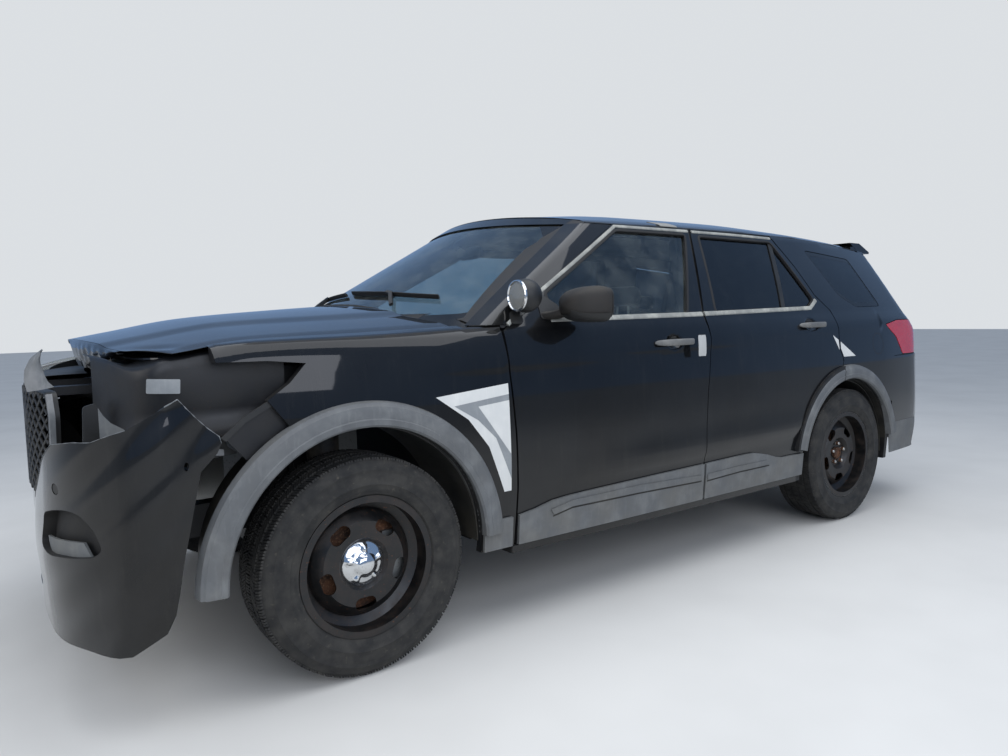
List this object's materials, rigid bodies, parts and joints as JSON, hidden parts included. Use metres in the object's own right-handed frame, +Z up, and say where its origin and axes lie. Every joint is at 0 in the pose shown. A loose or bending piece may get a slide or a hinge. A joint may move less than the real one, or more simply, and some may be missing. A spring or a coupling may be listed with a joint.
{
  "type": "police patrol car",
  "caption": "Black patrol sport-utility car with faded grey arch trim, pillar spotlight and a front bumper torn loose on the left.",
  "frame": {"origin": "on the ground, under the middle of the car's box", "axes": "+X forward, +Y to the car's left, +Z up"},
  "size_m": [5.0762, 2.2756, 1.7639],
  "materials": {
    "body_paint": "gloss black, dusty",
    "mirror_plastic": "grained",
    "clear_glass": "light green tint",
    "tinted_glass": "dark tint",
    "weathered_plastic": "faded grey",
    "black_plastic": "moulded",
    "tail_lens": "red lens",
    "lamp_lens": "clear lens",
    "tyre_rubber": "dusty",
    "wheel_steel": "satin black",
    "rusted_iron": "surface rust",
    "primed_steel": "dull black",
    "engine_iron": "plain",
    "exhaust_steel": "heat stained",
    "cabin_plastic": "grained",
    "seat_fabric": "woven",
    "lamp_chrome": "bright"
  },
  "bodies": {
    "root": {"body_side_left": "body_paint", "body_side_right": "body_paint", "front_fender_left": "body_paint", "front_fender_right": "body_paint", "roof_panel": "body_paint", "front_bumper": "body_paint", "rear_bumper": "body_paint", "windshield": "clear_glass", "quarter_glasses": "tinted_glass", "arch_flares": "weathered_plastic", "wheel_liners": "black_plastic", "grille": "black_plastic", "radiator": "black_plastic", "tail_lamps": "tail_lens", "headlamp_right": "lamp_lens", "front_subframe": "rusted_iron", "front_struts": "rusted_iron", "rear_suspension": "rusted_iron", "floor_pan": "primed_steel", "firewall": "primed_steel", "front_structure": "primed_steel", "fuel_tank": "primed_steel", "engine": "engine_iron", "exhaust": "exhaust_steel", "dashboard": "cabin_plastic", "steering_wheel": "cabin_plastic", "front_seats": "seat_fabric", "rear_seat": "seat_fabric", "spotlight": "lamp_chrome"},
    "knuckle_left": {"knuckle_left": "rusted_iron"},
    "knuckle_right": {"knuckle_right": "rusted_iron"},
    "wheel_front_left": {"tyre_front_left": "tyre_rubber", "rim_front_left": "wheel_steel", "hub_front_left": "rusted_iron"},
    "front_door_left": {"front_door_left": "body_paint", "front_door_glass_left": "clear_glass", "mirror_left": "mirror_plastic"},
    "wheel_front_right": {"tyre_front_right": "tyre_rubber", "rim_front_right": "wheel_steel", "hub_front_right": "rusted_iron"},
    "front_door_right": {"front_door_right": "body_paint", "front_door_glass_right": "clear_glass", "mirror_right": "mirror_plastic"},
    "wheel_rear_left": {"tyre_rear_left": "tyre_rubber", "rim_rear_left": "wheel_steel", "hub_rear_left": "rusted_iron"},
    "rear_door_left": {"rear_door_left": "body_paint", "rear_door_glass_left": "tinted_glass"},
    "wheel_rear_right": {"tyre_rear_right": "tyre_rubber", "rim_rear_right": "wheel_steel", "hub_rear_right": "rusted_iron"},
    "rear_door_right": {"rear_door_right": "body_paint", "rear_door_glass_right": "tinted_glass"},
    "hood": {"hood": "body_paint"},
    "liftgate": {"liftgate": "body_paint", "liftgate_glass": "tinted_glass"}
  },
  "joints": [
    {"name": "steer_left", "type": "hinge", "parent": "root", "child": "knuckle_left", "pos_m": [1.63027, 0.7895, 0.3815], "axis": [0, 0, 1], "range_deg": [-35, 35]},
    {"name": "steer_right", "type": "hinge", "parent": "root", "child": "knuckle_right", "pos_m": [1.63027, -0.7895, 0.3815], "axis": [0, 0, 1], "range_deg": [-35, 35]},
    {"name": "roll_front_left", "type": "hinge", "parent": "knuckle_left", "child": "wheel_front_left", "pos_m": [1.63027, 0.8495, 0.3815], "axis": [0, 1, 0], "continuous": true},
    {"name": "roll_front_right", "type": "hinge", "parent": "knuckle_right", "child": "wheel_front_right", "pos_m": [1.63027, -0.8495, 0.3815], "axis": [0, 1, 0], "continuous": true},
    {"name": "roll_rear_left", "type": "hinge", "parent": "root", "child": "wheel_rear_left", "pos_m": [-1.39474, 0.8495, 0.3815], "axis": [0, 1, 0], "continuous": true},
    {"name": "roll_rear_right", "type": "hinge", "parent": "root", "child": "wheel_rear_right", "pos_m": [-1.39474, -0.8495, 0.3815], "axis": [0, 1, 0], "continuous": true},
    {"name": "open_front_door_left", "type": "hinge", "parent": "root", "child": "front_door_left", "pos_m": [0.93276, 0.94, 0.7], "axis": [0, 0, -1], "range_deg": [0, 62]},
    {"name": "open_front_door_right", "type": "hinge", "parent": "root", "child": "front_door_right", "pos_m": [0.93276, -0.94, 0.7], "axis": [0, 0, 1], "range_deg": [0, 62]},
    {"name": "open_rear_door_left", "type": "hinge", "parent": "root", "child": "rear_door_left", "pos_m": [-0.20023, 0.96, 0.7], "axis": [0, 0, -1], "range_deg": [0, 62]},
    {"name": "open_rear_door_right", "type": "hinge", "parent": "root", "child": "rear_door_right", "pos_m": [-0.20023, -0.96, 0.7], "axis": [0, 0, 1], "range_deg": [0, 62]},
    {"name": "open_hood", "type": "hinge", "parent": "root", "child": "hood", "pos_m": [1.17277, 0, 1.18], "axis": [0, -1, 0], "range_deg": [0, 50]},
    {"name": "open_liftgate", "type": "hinge", "parent": "root", "child": "liftgate", "pos_m": [-2.04724, 0, 1.655], "axis": [0, 1, 0], "range_deg": [0, 80]}
  ],
  "couplings": [
    {"joint": "steer_right", "follows": "steer_left", "ratio": 1}
  ]
}
